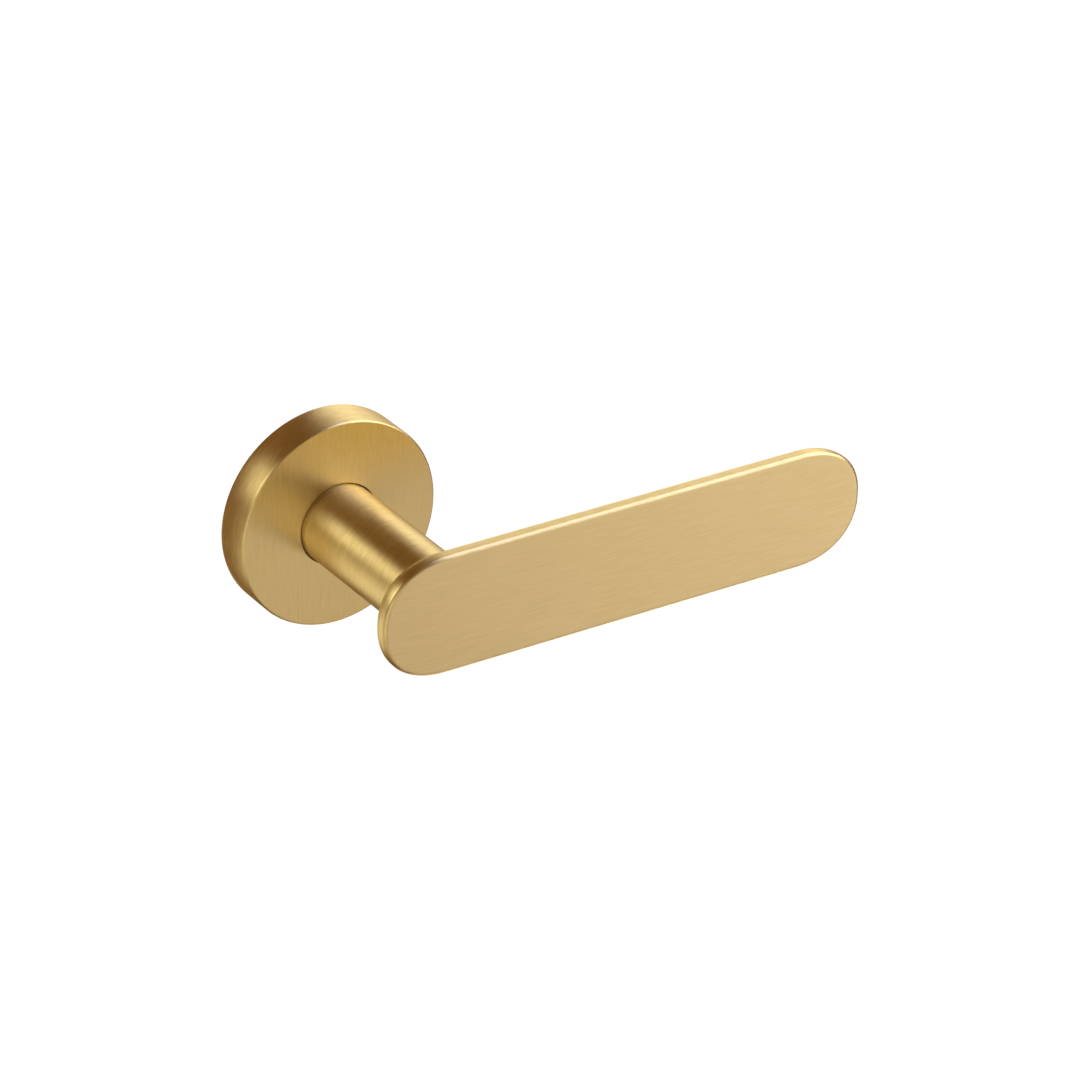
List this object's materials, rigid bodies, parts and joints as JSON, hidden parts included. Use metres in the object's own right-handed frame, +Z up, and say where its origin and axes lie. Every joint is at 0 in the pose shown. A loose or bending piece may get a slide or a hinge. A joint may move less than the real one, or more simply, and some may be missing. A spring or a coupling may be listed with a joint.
{
  "type": "door lever handle",
  "caption": "Sprung door lever: a flat round-ended grip on a round neck, turning in a round rose with a push-on cover, and a square spindle behind.",
  "frame": {"origin": "on the spindle axis at the door face, which is the back plane of the rose", "axes": "+X along the grip towards its free end, +Y along the spindle into the door, +Z up"},
  "size_m": [0.1396, 0.078, 0.052],
  "materials": {
    "satin_brass": "fine brushed satin, lacquered",
    "zinc_alloy": "die-cast zinc alloy, matt as cast",
    "zinc_plated_steel": "bright zinc plate",
    "spring_steel": "bright drawn wire and strip",
    "black_steel": "black oxide, lightly oiled",
    "black_nylon": "moulded, matt",
    "white_acetal": "moulded, smooth satin"
  },
  "bodies": {
    "rose": {"base_plate": "zinc_alloy", "back_plate": "zinc_plated_steel", "back_plate_screws": "zinc_plated_steel", "bearing_bush": "white_acetal", "snap_ring": "spring_steel", "thrust_washer": "black_nylon", "return_spring": "spring_steel"},
    "lever": {"lever_handle": "satin_brass", "grub_screw": "black_steel", "spindle": "zinc_plated_steel", "drive_hub": "black_steel", "stop_pin": "spring_steel", "spring_washer": "spring_steel", "circlip": "black_steel"},
    "cover": {"rose_cover": "satin_brass", "guide_ring": "black_nylon"}
  },
  "joints": [
    {"name": "lever_turn", "type": "hinge", "parent": "rose", "child": "lever", "pos_m": [0, 0, 0], "axis": [0, 1, 0], "range_deg": [0, 50], "stiffness_Nm_per_rad": 0.2, "springref_deg": -114.59, "deforming": ["return_spring"]},
    {"name": "cover_slide", "type": "slide", "parent": "rose", "child": "cover", "axis": [0, -1, 0], "range_m": [0, 0.03]}
  ]
}
